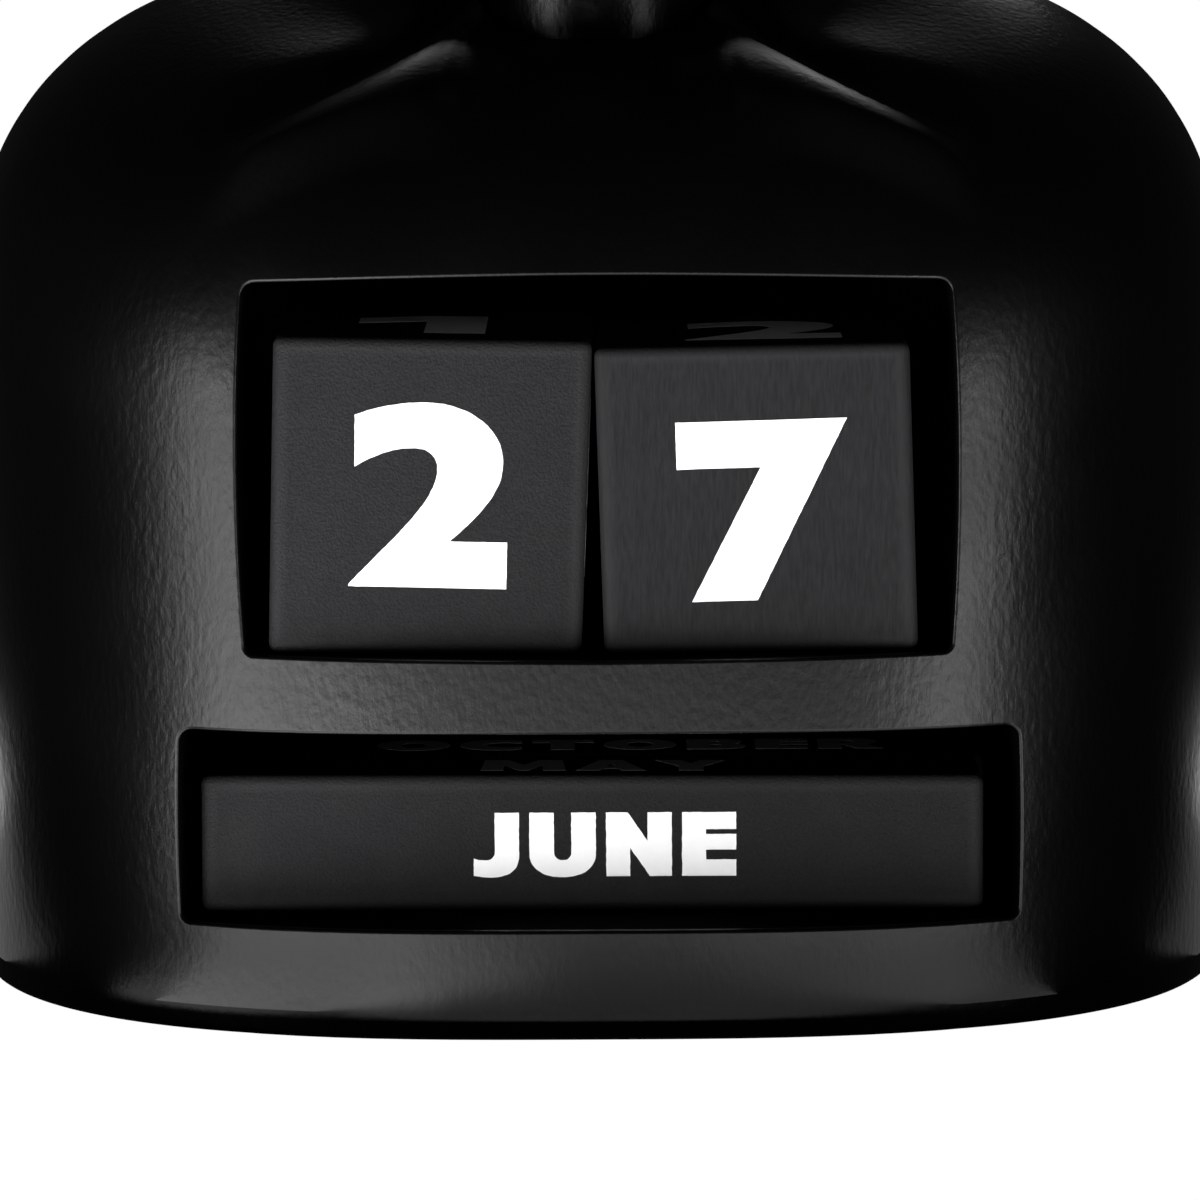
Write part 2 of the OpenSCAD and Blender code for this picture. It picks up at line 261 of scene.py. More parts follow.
def window_outline(window, grow):
    """A pocket's outline in X and Z: level below, swelling at the sides, arched on top."""
    width, height, floor_z, arch, swell, fall = window.values()
    low_corner, high_corner, step = 0.0010 + grow, 0.0016 + grow, 0.0012
    half, top, corner_steps = width / 2 + grow, height + grow, 6

    def stretch(from_x, from_z, to_x, to_z, bow_x, bow_z):
        count = max(2, round(math.hypot(to_x - from_x, to_z - from_z) / step))
        places = []
        for share in (i / count for i in range(1, count)):
            bow = 1 - (2 * share - 1) ** 2
            places.append((from_x + (to_x - from_x) * share + bow_x * bow,
                           from_z + (to_z - from_z) * share + bow_z * bow))
        return places

    def corner(x, z, radius, start):
        turns = [math.radians(start + 90 * i / corner_steps) for i in range(corner_steps + 1)]
        return [(x + radius * math.cos(turn), z + radius * math.sin(turn)) for turn in turns]

    side_top = top - arch - high_corner
    right = corner(half - low_corner, low_corner - grow, low_corner, -90)
    right += stretch(half, low_corner - grow, half, side_top, swell, 0)
    right += corner(half - high_corner, side_top, high_corner, 0)
    across = stretch(half - high_corner, top - arch, high_corner - half, top - arch, 0, arch)
    floor = stretch(low_corner - half, -grow, half - low_corner, -grow, 0, 0)
    outline = right + across + [(-x, z) for x, z in reversed(right)] + floor
    return [(x, floor_z + z + abs(x) * fall * max(0.0, 1 - z / height)) for x, z in outline]


def skin_at(x, z):
    """The uncut chest straight behind a point in front of it, and the way it faces."""
    place, _, number, _ = uncut_tree.ray_cast(Vector((x, -1, z)), Vector((0, 1, 0)))
    facing = Vector()
    for vert in uncut.faces[number].verts:
        facing += vert.normal / max((vert.co - place).length, 1e-6)
    return place, facing.normalized()


def cut_pocket(bm, window, level_y, rear_y):
    """Opens the chest, rounds the rim and runs the pocket back to its rear wall. From level_y
    back, its rings no longer follow the chest's curve."""
    half, low_z = window["width"] / 2, window["floor_z"]
    high_z = low_z + window["height"]
    rim, lip, rear_round, margin, rim_steps = 0.00045, 0.0008, 0.0008, 0.0009, 5
    doomed = [face for face in bm.faces if face.normal.y < -0.5 and any(
        abs(vert.co.x) < half + margin and low_z - margin < vert.co.z < high_z + margin
        and vert.co.y < level_y for vert in face.verts)]
    bmesh.ops.delete(bm, geom=doomed, context="FACES")
    hole = [edge for edge in bm.edges if edge.is_boundary]

    def skin_ring(grow, back):
        return [skin_at(x, z)[0] + Vector((0, back, 0)) for x, z in window_outline(window, grow)]

    def inner_ring(grow, y):
        return [Vector((x, y, z)) for x, z in window_outline(window, grow)]

    outline = window_outline(window, 0)
    nexts = outline[1:] + outline[:1]
    inwards = [Vector((-(next_z - last_z), 0, next_x - last_x)).normalized()
               for (last_x, last_z), (next_x, next_z) in zip([outline[-1]] + outline[:-1], nexts)]
    outwards = [skin_at(x, z)[1] for x, z in outline]

    outer = first_ring(bm, skin_ring(rim, 0))
    column = bm.verts.layers.int["column"]
    for vert in {vert for edge in outer for vert in edge.verts}:
        vert[skin_facing] = outwards[vert[column]]
    turns = [math.radians(90 * step / rim_steps) for step in range(1, rim_steps + 1)]
    lists = [skin_ring(rim * (1 - math.sin(turn)), rim * (1 - math.cos(turn))) for turn in turns]
    facings = [[out * math.cos(turn) + inward * math.sin(turn)
                for out, inward in zip(outwards, inwards)] for turn in turns]
    walls = [skin_ring(0, rim + lip), inner_ring(0, level_y), inner_ring(0, rear_y - rear_round)]
    lists += [*walls, inner_ring(-rear_round, rear_y)]
    facings += [inwards] * len(walls)
    back = more_rings(bm, list(outer), lists, facings, [0] * rim_steps + [1])
    bmesh.ops.edgeloop_fill(bm, edges=back)
    filled = bmesh.ops.triangle_fill(bm, edges=hole + outer, normal=Vector((0, -1, 0)))["geom"]
    filling = [part for part in filled if isinstance(part, bmesh.types.BMFace)]
    rims = set(hole + outer)
    between = dict.fromkeys(edge for face in filling for edge in face.edges if edge not in rims)
    bmesh.ops.beautify_fill(bm, faces=filling, edges=list(between), method="ANGLE")


def piece_from(bm, name):
    """Turns a bmesh into a smooth-shaded piece that stands at the origin."""
    mesh = bpy.data.meshes.new(name)
    bm.to_mesh(mesh)
    bm.free()
    mesh.shade_smooth()
    piece = bpy.data.objects.new(name, mesh)
    bpy.context.scene.collection.objects.link(piece)
    return piece


def new_material(name, base, roughness):
    """A plain material, its node tree and its shader, to be worked up further."""
    material = bpy.data.materials.new(name)
    material.use_nodes = True
    shader = material.node_tree.nodes["Principled BSDF"]
    shader.inputs["Base Color"].default_value = (*base, 1)
    shader.inputs["Roughness"].default_value = roughness
    return material, material.node_tree, shader


def grain(tree, scale, detail=3, stretch=(1, 1, 1)):
    """Noise on Object coordinates, drawn out along an axis that has a small stretch value."""
    place = tree.nodes.new("ShaderNodeTexCoord")
    turned = tree.nodes.new("ShaderNodeMapping")
    turned.inputs["Scale"].default_value = stretch
    pattern = tree.nodes.new("ShaderNodeTexNoise")
    pattern.inputs["Scale"].default_value = scale
    pattern.inputs["Detail"].default_value = detail
    tree.links.new(place.outputs["Object"], turned.inputs["Vector"])
    tree.links.new(turned.outputs["Vector"], pattern.inputs["Vector"])
    return pattern.outputs["Fac"]


def remap(tree, value, from_low, from_high, to_low, to_high):
    node = tree.nodes.new("ShaderNodeMapRange")
    node.inputs["From Min"].default_value = from_low
    node.inputs["From Max"].default_value = from_high
    node.inputs["To Min"].default_value = to_low
    node.inputs["To Max"].default_value = to_high
    tree.links.new(value, node.inputs["Value"])
    return node.outputs["Result"]


def add_bump(tree, shader, height, depth, strength=1.0):
    """Adds a relief of a depth in metres over any relief the shader already has."""
    bump = tree.nodes.new("ShaderNodeBump")
    bump.inputs["Strength"].default_value = strength
    bump.inputs["Distance"].default_value = depth
    tree.links.new(height, bump.inputs["Height"])
    if shader.inputs["Normal"].is_linked:
        tree.links.new(shader.inputs["Normal"].links[0].from_socket, bump.inputs["Normal"])
    tree.links.new(bump.outputs["Normal"], shader.inputs["Normal"])


def blend(tree, share, first, second):
    """Runs a share from a first value or colour, or an output, to a second value or colour."""
    node = tree.nodes.new("ShaderNodeMix")
    node.data_type = "RGBA" if isinstance(second, tuple) else "FLOAT"
    factor, start, end = [socket for socket in node.inputs if socket.enabled]
    tree.links.new(share, factor)
    if isinstance(first, bpy.types.NodeSocket):
        tree.links.new(first, start)
    else:
        start.default_value = first
    end.default_value = second
    return next(socket for socket in node.outputs if socket.enabled)


def attribute(tree, name):
    node = tree.nodes.new("ShaderNodeAttribute")
    node.attribute_name = name
    return node.outputs["Fac"]


def satin_lacquer():
    """Satin black lacquer: faint orange peel, fine upright rubbing marks and cloudy gloss. The
    spray hardly reaches into the pockets, which stay dull."""
    black, smoothest, roughest, dry_roughness = (0.0008, 0.0008, 0.0009), 0.27, 0.33, 0.9
    shine, dry_shine, peel_depth, rubbing_depth = 0.2, 0.015, 0.00006, 0.000008
    material, tree, shader = new_material("satin black lacquer", black, 0.36)
    gloss = remap(tree, grain(tree, 70, 4), 0.3, 0.7, smoothest, roughest)
    dry = attribute(tree, "dull")
    tree.links.new(blend(tree, dry, gloss, dry_roughness), shader.inputs["Roughness"])
    tree.links.new(blend(tree, dry, shine, dry_shine), shader.inputs["Specular IOR Level"])
    add_bump(tree, shader, grain(tree, 1100, 3, (1, 1, 0.6)), peel_depth)
    add_bump(tree, shader, grain(tree, 5000, 2, (1, 1, 0.06)), rubbing_depth)
    return material


# The arch and the swell are how far a window's top and sides bow out, and the fall is the slope
# of its floor towards the middle.
rear_gap, front_gap, floor_gap = 0.0008, 0.0005, 0.00005
date_window = {"width": 0.0798, "height": 0.0433, "floor_z": 0.0442,
               "arch": 0.0009, "swell": 0.0007, "fall": 0.010}
month_window = {"width": 0.0953, "height": 0.0224, "floor_z": front_bar_low.z - floor_gap,
                "arch": 0.0002, "swell": 0.0002, "fall": 0.0}

bm = bmesh.new()
torso_shell(bm)
bmesh.ops.recalc_face_normals(bm, faces=bm.faces)
bm.normal_update()
skin_facing = bm.verts.layers.float_vector.new("skin_facing")
dull = bm.verts.layers.float.new("dull")
for vert in bm.verts:
    vert[skin_facing] = vert.normal
uncut = bm.copy()
uncut.faces.ensure_lookup_table()
uncut_tree = BVHTree.FromBMesh(uncut)
cut_pocket(bm, date_window, tens_low.y - front_gap, tens_high.y + rear_gap)
cut_pocket(bm, month_window, front_bar_low.y - front_gap, rear_bar_high.y + rear_gap)
uncut.free()
bmesh.ops.recalc_face_normals(bm, faces=bm.faces)
bm.normal_update()

# The spray does reach the ceiling of the date pocket.
for vert in bm.verts:
    if vert.normal.z < -0.8 and vert.co.z > date_window["floor_z"]:
        vert[dull] = 0
facings = [Vector(vert[skin_facing]) for vert in bm.verts]
torso = piece_from(bm, "torso_casting")
torso.data.normals_split_custom_set_from_vertices(facings)

lacquer = satin_lacquer()
torso.data.materials.append(lacquer)
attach(torso, "bust")
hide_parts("torso")

# ---- Head and neck ----
# A second casting in the same black lacquer, glued into the collar: a calm, hairless figure
# head with closed eyes on a slim neck that leans forward. Its forms are soft swells on three
# egg-shaped masses, and the neck runs into the jaw without a seam.

head_height = 0.062
chin_rise = 0.020
head_advance = 0.005
neck_waist = 0.001
neck_top = 0.8
neck_sides, neck_rows = 120, 60
head_middle = Vector((0, neck_y - head_advance, pit_z + chin_rise + head_height / 2))

skull = (Vector((0, 0.06, 0.14)), Vector((0.335, 0.385, 0.36)))
face = (Vector((0, -0.125, -0.13)), Vector((0.265, 0.27, 0.35)))
jaw = (Vector((0, -0.15, -0.2)), Vector((0.2, 0.24, 0.295)))
mass_blend = 0.02

# Each form is a bearing from the nose, a lift above the middle, a spread across, a spread up,
# and a height in parts of the head's height. Angles are in degrees.
middle_forms = [
    (0, -5, 6, 12, 0.030),       # bridge of the nose
    (0, -20, 7.5, 7, 0.078),     # tip of the nose
    (0, -33, 10, 3.4, 0.020),    # upper lip
    (0, -40, 9, 3.4, 0.022),     # lower lip
    (0, -36.4, 10, 0.9, -0.014), # line between the lips
    (0, -30, 1.6, 2.4, -0.006),  # groove over the upper lip
    (0, -46, 10, 3.6, -0.012),   # hollow under the lip
    (0, -54, 11, 7, 0.028),      # chin
]
paired_forms = [
    (8, -23, 5, 4.5, 0.026),     # wing of the nose
    (4.5, -28, 2.0, 1.2, -0.012), # nostril
    (20, 1, 11, 7.5, -0.042),    # eye socket
    (20, -1.5, 8, 5, 0.030),     # closed eye
    (20, -4.0, 8, 0.8, -0.008),  # line of the lids
    (20, 3.5, 8, 1.0, -0.006),   # crease over the lid
    (17, 11, 14, 5, 0.016),      # brow
    (38, -13, 13, 9, 0.018),     # cheekbone
    (62, 18, 15, 13, -0.012),    # temple
    (94, -7, 6, 14, 0.060),      # ear
    (92, -7, 2.6, 7.5, -0.022),  # hollow of the ear
]
forms = middle_forms + paired_forms
forms += [(-bearing, *rest) for bearing, *rest in paired_forms]


def egg_reach(way, egg):
    """How far out along a direction an egg round the head's middle reaches."""
    centre, radii = egg
    squares = [radius * radius for radius in radii]
    a = sum(w * w / s for w, s in zip(way, squares))
    b = sum(w * c / s for w, c, s in zip(way, centre, squares))
    k = sum(c * c / s for c, s in zip(centre, squares)) - 1
    return (b + math.sqrt(b * b - a * k)) / a


def head_reach(way):
    """How far out along a direction the head's surface is, in parts of its height."""
    bearing = math.degrees(math.atan2(way.x, -way.y))
    lift = math.degrees(math.asin(max(-1.0, min(1.0, way.z))))
    masses = sum(math.exp(egg_reach(way, egg) / mass_blend) for egg in (skull, face, jaw))
    reach = mass_blend * math.log(masses)
    for form_bearing, form_lift, wide, tall, height in forms:
        narrowing = math.cos(math.radians(lift)) / math.cos(math.radians(form_lift))
        across = (bearing - form_bearing) * narrowing / wide
        up = (lift - form_lift) / tall
        if abs(across) < 3 and abs(up) < 3:
            reach += height * math.exp(-across * across - up * up)
    return reach


def neck_ring(share):
    """A ring of the neck, which leans forward and slims on its way to the head's middle."""
    lean = head_advance * eased(share)
    radius = neck_radius - glue_gap - neck_waist * eased(2 * share)
    height = pit_z - neck_seat + (head_middle.z - pit_z + neck_seat) * share
    turns = [math.tau * i / neck_sides for i in range(neck_sides)]
    return [Vector((radius * math.cos(turn), neck_y - lean + radius * math.sin(turn), height))
            for turn in turns]


def smooth_over(bm, verts, passes):
    for _ in range(passes):
        bmesh.ops.smooth_vert(bm, verts=verts, factor=0.5,
                              use_axis_x=True, use_axis_y=True, use_axis_z=True)


bm = bmesh.new()
bmesh.ops.create_uvsphere(bm, u_segments=240, v_segments=200, radius=1)
for vert in bm.verts:
    way = vert.co.normalized()
    vert.co = head_middle + way * head_reach(way) * head_height
ring = first_ring(bm, neck_ring(0))
bmesh.ops.edgeloop_fill(bm, edges=ring)
ring = more_rings(bm, ring, [neck_ring(row / neck_rows * neck_top)
                             for row in range(1, neck_rows + 1)])
bmesh.ops.edgeloop_fill(bm, edges=ring)
bmesh.ops.recalc_face_normals(bm, faces=bm.faces)
rough_head = piece_from(bm, "rough_head")
joining = rough_head.modifiers.new("one skin", "REMESH")
joining.mode = "VOXEL"
joining.voxel_size = 0.00048
joining.use_smooth_shade = True
evaluated = rough_head.evaluated_get(bpy.context.evaluated_depsgraph_get())
bm = bmesh.new()
bm.from_mesh(evaluated.to_mesh())
evaluated.to_mesh_clear()
bpy.data.objects.remove(rough_head)
smooth_over(bm, bm.verts, 2)
jaw_low, jaw_high, jaw_front = pit_z + 0.012, pit_z + 0.030, -0.022
under_jaw = [vert for vert in bm.verts if jaw_low < vert.co.z < jaw_high and vert.co.y > jaw_front]
smooth_over(bm, under_jaw, 14)
head = piece_from(bm, "head_casting")
head.data.materials.append(lacquer)
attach(head, "bust")
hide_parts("head")

# ---- Base plate and felt ----
# A plate of brown hardboard closes the hollow casting from below and is glued to its ledge.
# Under it, a sheet of pressed black felt, cut a little smaller than the foot, saves the desk.


def two_tone(tree, shader, pattern, dark_up_to, dark, light_from, light):
    """Colours a shader from dark, where a pattern is low, to light, where it is high."""
    colours = tree.nodes.new("ShaderNodeValToRGB")
    dark_stop, light_stop = colours.color_ramp.elements
    dark_stop.position, light_stop.position = dark_up_to, light_from
    dark_stop.color, light_stop.color = (*dark, 1), (*light, 1)
    tree.links.new(pattern, colours.inputs["Fac"])
    tree.links.new(colours.outputs["Color"], shader.inputs["Base Color"])


def hardboard():
    material, tree, shader = new_material("brown hardboard", (0.16, 0.10, 0.055), 0.75)
    fibres = grain(tree, 1400, 5, (1, 0.4, 1))
    two_tone(tree, shader, fibres, 0.3, (0.10, 0.06, 0.032), 0.75, (0.22, 0.145, 0.085))
    add_bump(tree, shader, fibres, 0.00008)
    return material


def pressed_felt():
    material, tree, shader = new_material("pressed black felt", (0.012, 0.012, 0.013), 0.95)
    shader.inputs["Sheen Weight"].default_value = 0.5
    shader.inputs["Sheen Roughness"].default_value = 0.6
    nap = grain(tree, 2600, 6)
    two_tone(tree, shader, nap, 0.0, (0.006, 0.006, 0.007), 1.0, (0.022, 0.022, 0.024))
    add_bump(tree, shader, nap, 0.00025)
    return material


for node, material in (("base_plate", hardboard()), ("felt", pressed_felt())):
    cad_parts[node].data.materials.clear()
    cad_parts[node].data.materials.append(material)

# ---- Date cubes ----
# Two wooden cubes, sprayed matte charcoal, their edges rubbed soft by sanding. They stand on a
# floor that falls to the middle and so lean together. White numerals are screen printed on all
# faces: 0 to 5 on the tens cube, and 0, 1, 2, 6, 7 and 8 on the units cube, 6 doing for 9.

units_low, units_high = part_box("units_cube")
cube_side = 0.0355
cube_lean = math.radians(1.5)
off_middle = Vector((-0.0005, -0.0017, 0))  # how the cubes were last put back
figure_height = 0.0204
block_round = 0.0011


def block(name, size, place, corners=((0, 0),) * 4):
    """A hand-sanded block with rounded edges. The corners of its front lie off true by so much
    in X and Z, in reading order, and those of its back likewise. The float attribute "worn"
    rises from 0 on the flat faces to 1 along the edges."""
    worn_band, fading_band = 0.0003, 0.0010
    bm = bmesh.new()
    bmesh.ops.create_cube(bm, size=1)
    for vert in bm.verts:
        off_x, off_z = corners[2 * (vert.co.z < 0) + (vert.co.x > 0)]
        vert.co = Vector(part * full for part, full in zip(vert.co, size))
        vert.co += Vector((off_x, 0, off_z))
    bmesh.ops.bevel(bm, geom=bm.edges, offset=block_round, segments=5, profile=0.5,
                    affect="EDGES", material=-1)
    broad = sorted(bm.faces, key=lambda face: -face.calc_area())[:6]
    for band in (worn_band, fading_band):
        bmesh.ops.inset_individual(bm, faces=broad, thickness=band, depth=0)
    worn = bm.verts.layers.float.new("worn")
    flat = {vert for face in broad for vert in face.verts}
    for vert in bm.verts:
        vert[worn] = float(vert not in flat)
    bmesh.ops.transform(bm, matrix=place, verts=bm.verts)
    return piece_from(bm, name)


def specks(tree, size, spacing, share):
    """Scattered round specks of a size, on a share of the cells: 1 on a speck, 0 beside it."""
    cut, soft_edge = 0.001, 1.5
    place = tree.nodes.new("ShaderNodeTexCoord")
    cells = tree.nodes.new("ShaderNodeTexVoronoi")
    cells.inputs["Scale"].default_value = 1 / spacing
    tree.links.new(place.outputs["Object"], cells.inputs["Vector"])
    chosen = remap(tree, cells.outputs["Color"], 1 - share, 1 - share + cut, 0, 1)
    near = remap(tree, cells.outputs["Distance"], size / spacing, soft_edge * size / spacing, 1, 0)
    both = tree.nodes.new("ShaderNodeMath")
    both.operation = "MULTIPLY"
    tree.links.new(chosen, both.inputs[0])
    tree.links.new(near, both.inputs[1])
    return both.outputs["Value"]


def charcoal_paint(name, brushed):
    """Matte charcoal paint with a leathery spray grain or with upright sanding strokes, a little
    lighter along the edges, with a few white specks of dust in it."""
    dark, light = (0.0085, 0.0085, 0.0091, 1), (0.0150, 0.0150, 0.0160, 1)
    edge, dust = (0.020, 0.020, 0.021, 1), (0.30, 0.30, 0.30, 1)
    speck_size, speck_spacing, speck_share = 0.00006, 0.0014, 0.02
    stretch, depth = ((1, 1, 0.15), 0.00008) if brushed else ((1, 1, 1), 0.00014)
    material, tree, shader = new_material(name, (0.010, 0.010, 0.0107), 0.62)
    shader.inputs["Specular IOR Level"].default_value = 0.08
    leather = grain(tree, 3400, 3, stretch)
    sprayed = blend(tree, remap(tree, leather, 0.3, 0.7, 0, 1), dark, light)
    rubbed = blend(tree, remap(tree, attribute(tree, "worn"), 0, 1, 0, 0.5), sprayed, edge)
    dusted = blend(tree, specks(tree, speck_size, speck_spacing, speck_share), rubbed, dust)
    tree.links.new(dusted, shader.inputs["Base Color"])
    add_bump(tree, shader, leather, depth)
    tree.links.new(remap(tree, grain(tree, 300, 3), 0.3, 0.7, 0.56, 0.68),
                   shader.inputs["Roughness"])
    return material


def screen_print():
    """Opaque white printing ink with a faint mottle."""
    material, tree, shader = new_material("white printing ink", (0.89, 0.89, 0.89), 0.55)
    mottle = blend(tree, grain(tree, 900, 4), (0.86, 0.86, 0.86, 1), (0.92, 0.92, 0.92, 1))
    tree.links.new(mottle, shader.inputs["Base Color"])
    add_bump(tree, shader, grain(tree, 2500, 2), 0.00002, 0.5)
    return material


def oval(x, z, half, tall):
    """An outline in four curves. Its handles have the length that makes a circle round."""
    pull = 0.5523
    return [(x + half, z),
            (x + half, z + tall * pull, x + half * pull, z + tall, x, z + tall),
            (x - half * pull, z + tall, x - half, z + tall * pull, x - half, z),
            (x - half, z - tall * pull, x - half * pull, z - tall, x, z - tall),
            (x + half * pull, z - tall, x + half, z - tall * pull, x + half, z)]


# Outlines of the figures, with a height of 1. Two numbers are a corner, and six are a curve:
# its two handles and then its end. The first outline is the figure, the others its openings.
figures = {
    "0": [oval(0.48, 0.5, 0.48, 0.53), oval(0.48, 0.5, 0.15, 0.28)],
    "1": [[(0.38, 0), (0.72, 0), (0.72, 1), (0.40, 1), (0, 0.81), (0, 0.51), (0.38, 0.68)]],
    "2": [[(0, 0), (0.873, 0), (0.873, 0.26), (0.556, 0.262),
           (0.721, 0.412, 0.843, 0.536, 0.843, 0.70), (0.843, 0.896, 0.649, 1.03, 0.412, 1.03),
           (0.278, 1.03, 0.144, 1.002, 0.02, 0.954), (0.023, 0.666),
           (0.134, 0.737, 0.247, 0.776, 0.348, 0.776), (0.433, 0.776, 0.48, 0.732, 0.48, 0.66),
           (0.48, 0.536, 0.371, 0.412, 0.267, 0.296), (0, 0.015)]],
    "3": [[(0.04, 0.96), (0.04, 0.73), (0.13, 0.77, 0.22, 0.79, 0.31, 0.79),
           (0.40, 0.79, 0.45, 0.77, 0.45, 0.72), (0.45, 0.67, 0.40, 0.64, 0.30, 0.64),
           (0.20, 0.64), (0.20, 0.42), (0.31, 0.42), (0.42, 0.42, 0.48, 0.39, 0.48, 0.33),
           (0.48, 0.27, 0.42, 0.24, 0.31, 0.24), (0.21, 0.24, 0.10, 0.27, 0, 0.32), (0, 0.04),
           (0.12, -0.01, 0.25, -0.03, 0.38, -0.03), (0.68, -0.03, 0.86, 0.09, 0.86, 0.29),
           (0.86, 0.42, 0.77, 0.51, 0.62, 0.54), (0.73, 0.57, 0.81, 0.65, 0.81, 0.76),
           (0.81, 0.92, 0.66, 1.03, 0.40, 1.03), (0.28, 1.03, 0.16, 1.01, 0.04, 0.96)]],
    "4": [[(0.44, 0), (0.80, 0), (0.80, 0.20), (0.93, 0.20), (0.93, 0.44), (0.80, 0.44),
           (0.80, 1), (0.42, 1), (0, 0.46), (0, 0.20), (0.44, 0.20)],
          [(0.27, 0.44), (0.44, 0.67), (0.44, 0.44)]],
    "5": [[(0.08, 1), (0.05, 0.41), (0.13, 0.435, 0.22, 0.45, 0.31, 0.45),
           (0.42, 0.45, 0.49, 0.41, 0.49, 0.345), (0.49, 0.28, 0.42, 0.24, 0.30, 0.24),
           (0.20, 0.24, 0.10, 0.27, 0, 0.31), (0, 0.04),
           (0.11, -0.01, 0.23, -0.03, 0.36, -0.03), (0.67, -0.03, 0.87, 0.10, 0.87, 0.33),
           (0.87, 0.56, 0.67, 0.69, 0.375, 0.66), (0.38, 0.74), (0.80, 0.74), (0.80, 1)]],
    "6": [[(0.78, 1.0), (0.70, 1.02, 0.62, 1.03, 0.56, 1.03), (0.20, 1.03, 0, 0.80, 0, 0.46),
           (0, 0.14, 0.17, -0.03, 0.46, -0.03), (0.74, -0.03, 0.91, 0.11, 0.91, 0.33),
           (0.91, 0.53, 0.77, 0.65, 0.58, 0.65), (0.50, 0.65, 0.43, 0.63, 0.38, 0.59),
           (0.41, 0.70, 0.50, 0.77, 0.63, 0.77), (0.69, 0.77, 0.74, 0.76, 0.78, 0.745)],
          oval(0.465, 0.315, 0.12, 0.12)],
    "7": [[(0, 0), (0.364, 0), (0.884, 1), (-0.064, 1), (-0.064, 0.739), (0.401, 0.739)]],
    "8": [[(0.46, 1.03), (0.72, 1.03, 0.88, 0.92, 0.88, 0.76),
           (0.88, 0.66, 0.82, 0.58, 0.72, 0.54), (0.85, 0.50, 0.92, 0.41, 0.92, 0.29),
           (0.92, 0.09, 0.74, -0.03, 0.46, -0.03), (0.18, -0.03, 0, 0.09, 0, 0.29),
           (0, 0.41, 0.07, 0.50, 0.20, 0.54), (0.10, 0.58, 0.04, 0.66, 0.04, 0.76),
           (0.04, 0.92, 0.20, 1.03, 0.46, 1.03)],
          oval(0.46, 0.745, 0.11, 0.085), oval(0.46, 0.305, 0.14, 0.11)],
}


def add_outline(curve, outline, shift, height):
    """Adds a figure's outline to a curve, moved aside in parts of its height."""
    finest_step = 0.0004
    spline = curve.splines.new("BEZIER")
    spline.bezier_points.add(len(outline) - 1)
    spline.use_cyclic_u = True
    spline.resolution_u = round(height / finest_step)
    places = [Vector(((shift + step[-2]) * height, step[-1] * height, 0)) for step in outline]
    for number, step in enumerate(outline):
        point, before = spline.bezier_points[number], spline.bezier_points[number - 1]
        point.co = places[number]
        leave, arrive = places[number - 1], places[number]
        if len(step) == 6:
            leave = Vector(((shift + step[0]) * height, step[1] * height, 0))
            arrive = Vector(((shift + step[2]) * height, step[3] * height, 0))
        for handle_end in (point, before):
            handle_end.handle_left_type = handle_end.handle_right_type = "FREE"
        before.handle_right = leave
        point.handle_left = arrive


def figure_sides(character):
    """Where a figure's left and right sides are."""
    ends = [step[-2] for step in figures[character][0]]
    return min(ends), max(ends)


def lettering(bm, text, height, spacing, place, surface):
    """Prints a line of figures, centred on a place, on the surface under it, and adds it to a
    bmesh. The ink is a thin film with a slightly ragged edge."""
    film, ragged, rag_scale, clear_of_face = 0.00004, 0.00005, 0.0005, 0.005
    curve = bpy.data.curves.new("lettering", "CURVE")
    curve.dimensions = "2D"
    curve.fill_mode = "BOTH"
    curve.extrude = film
    along = 0.0
    for character in text:
        low, high = figure_sides(character)
        for outline in figures[character]:
            add_outline(curve, outline, along - low, height)
        along += high - low + spacing
    sheet = bpy.data.objects.new("lettering", curve)
    bpy.context.scene.collection.objects.link(sheet)
    evaluated = sheet.evaluated_get(bpy.context.evaluated_depsgraph_get())
    flat = bmesh.new()
    flat.from_mesh(evaluated.to_mesh())
    evaluated.to_mesh_clear()
    bpy.data.objects.remove(sheet)
    bmesh.ops.remove_doubles(flat, verts=flat.verts, dist=1e-7)
    middle = Vector((-(along - spacing) / 2 * height, -height / 2, 0))
    off_face = place.to_3x3() @ Vector((0, 0, 1))
    for vert in flat.verts:
        above = vert.co.z
        spot = place @ (Vector((vert.co.x, vert.co.y, 0)) + middle)
        rag = noise.noise_vector(spot / rag_scale) * ragged
        spot += rag - off_face * rag.dot(off_face)
        hit = surface.ray_cast(spot + off_face * clear_of_face, -off_face)[0] or spot
        vert.co = hit + off_face * above
    printed = bpy.data.meshes.new("lettering")
    flat.to_mesh(printed)
    flat.free()
    bm.from_mesh(printed)
    bpy.data.meshes.remove(printed)


def face_frame(right, up, out, half):
    """A frame on a block's face: X to the right of the figure, Y up it and Z off the face."""
    turn = Matrix((right, up, out)).transposed().to_4x4()
    return Matrix.Translation(Vector(out) * half) @ turn


def print_faces(solid, name, place, faces, texts, shifts, height, spacing=0):
    """Prints a text on each face of a block, shifted right and up it, as one piece."""
    surface = BVHTree.FromPolygons([vert.co for vert in solid.data.vertices],
                                   [face.vertices for face in solid.data.polygons])
    bm = bmesh.new()
    for face, text, shift in zip(faces, texts, shifts):
        aside = Matrix.Translation((*shift, 0))
        lettering(bm, text, height, spacing, place @ face @ aside, surface)
    prints = piece_from(bm, name)
    prints.data.materials.append(ink)
    prints.data.shade_flat()
    return prints


def fit_block(solid, prints, node, body):
    """Puts a printed block in its node's place, on its own body."""
    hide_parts(node)
    for piece, finish in ((solid, "block_paint"), (prints, "print")):
        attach(piece, body)


